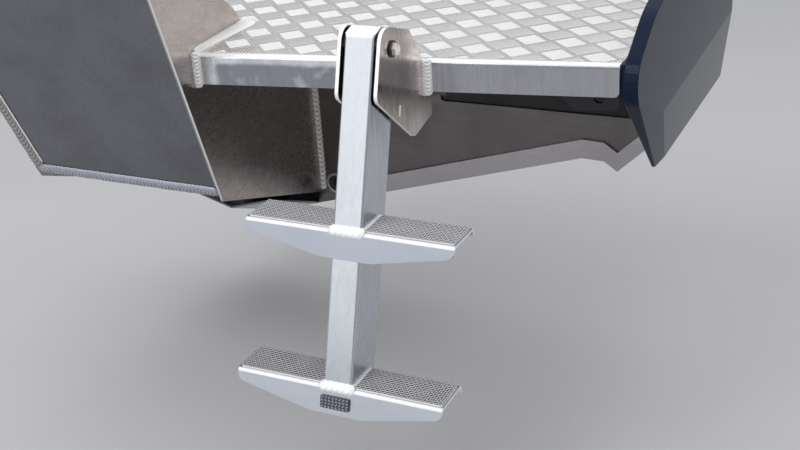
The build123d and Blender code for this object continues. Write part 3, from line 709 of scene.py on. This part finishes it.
plate_weld("starboard", [pod_edge(1, POD_TOP - 6, 6), pod_edge(1, -256, 6)],
           width=6, height=2.5, ripple=4, seed=11, depth=0.2)
plate_weld("port", [pod_edge(-1, POD_TOP - 8, 12.5), pod_edge(-1, -272, 12.5)],
           width=24, height=5, ripple=9, seed=12, depth=0.5)
plate_weld("port_line", [pod_edge(-1, POD_TOP - 8, 26), pod_edge(-1, -254, 26)],
           width=3.5, height=2, ripple=5, seed=14, depth=0.2, finish="smooth_weld")
plate_weld("bottom", [pod_edge(-1, -270, 6), pod_edge(1, -270, 6)],
           width=22, height=5, ripple=8, seed=13, depth=0.5, finish="blue_weld")

UP_POST = Vector((0, math.sin(LEAN), math.cos(LEAN)))
PAST_POST = 6.0             # how far the steps' aft beads run past the post
STEP_BEAD = (-1.0, -1.5)    # from the post's aft face and from the step's top
SIDE_BEAD_OUT = 1.0         # from the post's side
SIDE_BEAD_LIFT = 0.3        # above the step
SIDE_BEAD_LENGTH = 66.0
for level, s in zip(("upper", "lower"), STEP_S):
    reach = POST_WIDTH / 2 + PAST_POST
    line = [on_post(x, STEP_BEAD[0], s + STEP_BEAD[1]) for x in (-reach, reach)]
    weld(f"weld_{level}_step", line, width=19, height=6, ripple=10, normal=(0, -0.75, 0.66),
         seed=20 + int(-s), depth=0.35, finish="step_weld", body="ladder")
    for side, label in ((1, "starboard"), (-1, "port")):
        edge_y = POST_AFT_Y + s * math.sin(LEAN)
        x = side * (POST_WIDTH / 2 + SIDE_BEAD_OUT)
        z = s * math.cos(LEAN) + SIDE_BEAD_LIFT
        line = [at(x, edge_y + y, z) for y in (0, SIDE_BEAD_LENGTH)]
        weld(f"weld_{level}_step_{label}", line, width=8, height=4, ripple=7, normal=(side * 0.6, 0, 0.8),
             seed=40 + side, depth=0.15, finish="step_weld", body="ladder")


# Grip texture: short raised dashes, turned one way and the other, over each pad. The pads are near black
# under pale dashes: painted shade between the dashes and painted highlight on their tops

DASH = (4.0, 1.9, 0.8)              # length, width, height
DASH_PITCH = (4.3, 4.9)
DASH_TURN = math.radians(38)
DASH_LEVELS = ((1.0, -0.1), (0.6, 1.0))     # shares of its size and of its height, at its foot and its top
PATCH_DASH = (4.2, 1.5, 0.8)
PATCH_PITCH = (5.6, 4.6)
PATCH_SIZE = (50, 20)
PATCH_OUT = -7.0                    # from the post's aft face to the patch
PATCH_BELOW = 36.0                  # from the step's top to the patch's lower edge


def dash_field(name, corner, across, up, size, finish, pitch=DASH_PITCH, dash=DASH, by_row=False):
    """Dashes over a rectangle that starts at corner and runs size along the two directions."""
    out = across.cross(up)
    verts, faces = [], []
    columns = int(size[0] / pitch[0])
    rows = int(size[1] / pitch[1])
    for c in range(columns):
        for r in range(rows):
            turn = DASH_TURN if (r if by_row else c + r) % 2 else -DASH_TURN
            along = across * math.cos(turn) + up * math.sin(turn)
            side = up * math.cos(turn) - across * math.sin(turn)
            u = (c + 0.5) * size[0] / columns
            v = (r + 0.5) * size[1] / rows
            middle = corner + across * (u * MM) + up * (v * MM)
            first = len(verts)
            for shrink, rise in DASH_LEVELS:
                for a, b in SQUARE:
                    verts.append(middle + along * (a * shrink * dash[0] * MM / 2)
                                 + side * (b * shrink * dash[1] * MM / 2) + out * (rise * dash[2] * MM))
            faces.append((first + 4, first + 5, first + 6, first + 7))
            for k in range(4):
                n = (k + 1) % 4
                faces.append((first + k, first + n, first + 4 + n, first + 4 + k))
    add_mesh(name, verts, faces, finish, "ladder", smooth=False)


X_AXIS = Vector((1, 0, 0))
Y_AXIS = Vector((0, 1, 0))
for level in ("upper", "lower"):
    for label in ("starboard", "port"):
        low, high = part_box(f"{level}_tread_pad_{label}")
        size = ((high.x - low.x) / MM, (high.y - low.y) / MM)
        corner = Vector((low.x, low.y, high.z))
        dash_field(f"{level}_grip_{label}", corner, X_AXIS, Y_AXIS, size, "grip_top")
patch_corner = on_post(-PATCH_SIZE[0] / 2, PATCH_OUT, STEP_S[1] - PATCH_BELOW)
dash_field("patch_grip", patch_corner, X_AXIS, UP_POST, PATCH_SIZE, "dark_grip_top", PATCH_PITCH, PATCH_DASH,
           by_row=True)


# Bung set back inside the drain's ring. It is a guessed part, and its near-black face stands in for the shade
# inside the drain hole.

BUNG_RADIUS = 18.7
BUNG_BACK = 5.0             # from the ring's aft face to the bung's rim
BUNG_PROFILE = (            # a share of the radius, and millimetres aft of the rim
    (0.0, 3.0), (0.30, 3.0), (0.34, 0.6), (0.86, 0.0), (0.93, 1.2), (1.0, 1.0), (1.0, -6.0), (0.0, -6.0),
)
BUNG_SIDES = 48


def drain_bung():
    """Turned about the drain's axis."""
    low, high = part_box("drain_ring")
    middle = (low + high) / 2
    verts = []
    for share, aft in BUNG_PROFILE:
        for k in range(BUNG_SIDES):
            turn = 2 * math.pi * k / BUNG_SIDES
            x = middle.x + share * BUNG_RADIUS * MM * math.cos(turn)
            z = middle.z + share * BUNG_RADIUS * MM * math.sin(turn)
            verts.append(Vector((x, low.y + (BUNG_BACK - aft) * MM, z)))
    faces = []
    for ring in range(len(BUNG_PROFILE) - 1):
        for k in range(BUNG_SIDES):
            a = ring * BUNG_SIDES + k
            b = ring * BUNG_SIDES + (k + 1) % BUNG_SIDES
            faces.append((a, b, b + BUNG_SIDES, a + BUNG_SIDES))
    add_mesh("drain_bung", verts, faces, "nylon", "platform")


drain_bung()


# Floor, light and world

FLOOR_HALF = 15.0
FLOOR_COLOURS = ((0.52, 0.52, 0.53), (0.49, 0.49, 0.50))
SKY_LOW = (0.40, 0.41, 0.43)
SKY = ((0.12, 0.48), (0.3, 0.62), (0.5, 0.9), (0.9, 0.60))     # height, and how light it is there
SKY_TINT = (1.0, 1.01, 1.04)
SKY_STRENGTH = 0.78
LAMPS = (                       # name, place, what it points at, size, watts
    ("key", (-1.3, -3.2, 3.0), (0, -0.6, -0.1), (2.4, 2.4), 60),
    ("top", (0.3, -0.4, 3.4), (0, -0.4, 0), (7.0, 7.0), 114),
    ("aft_panel", (-1.7, -3.7, 0.62), (0, -0.7, -0.1), (3.2, 1.8), 15),
)


def make_floor():
    z = at(0, 0, FLOOR_Z).z
    corners = [(x * FLOOR_HALF, y * FLOOR_HALF, z) for x, y in SQUARE]
    mesh = bpy.data.meshes.new("floor")
    mesh.from_pydata(corners, [], [(0, 1, 2, 3)])
    surface = Surface("floor", FLOOR_COLOURS[0], roughness=0.85, metallic=0.0)
    surface.tint(surface.noise(1.5, detail=3.0), FLOOR_COLOURS[1], low=0.4, high=0.7, amount=0.5)
    mesh.materials.append(surface.done())
    floor = bpy.data.objects.new("floor", mesh)
    bpy.context.scene.collection.objects.link(floor)


def area_light(name, place, target, size, power):
    data = bpy.data.lights.new(name, "AREA")
    data.shape = "RECTANGLE"
    data.size, data.size_y = size
    data.energy = power
    lamp = bpy.data.objects.new(name, data)
    bpy.context.scene.collection.objects.link(lamp)
    lamp.location = place
    lamp.rotation_euler = (Vector(target) - Vector(place)).to_track_quat("-Z", "Y").to_euler()


def make_world():
    world = bpy.data.worlds.new("soft_sky")
    bpy.context.scene.world = world
    world.use_nodes = True
    tree = world.node_tree
    place = tree.nodes.new("ShaderNodeTexCoord")
    split = tree.nodes.new("ShaderNodeSeparateXYZ")
    ramp = tree.nodes.new("ShaderNodeValToRGB")
    tree.links.new(place.outputs["Generated"], split.inputs[0])
    tree.links.new(split.outputs["Z"], ramp.inputs["Fac"])
    stops = ramp.color_ramp.elements
    stops.remove(stops[1])
    stops[0].color = (*SKY_LOW, 1)
    for height, level in SKY:
        stops.new(height).color = (*(level * share for share in SKY_TINT), 1)
    tree.links.new(ramp.outputs["Color"], tree.nodes["Background"].inputs["Color"])
    tree.nodes["Background"].inputs["Strength"].default_value = SKY_STRENGTH


make_floor()
make_world()
for lamp in LAMPS:
    area_light(*lamp)
bpy.context.scene.view_settings.view_transform = "Standard"
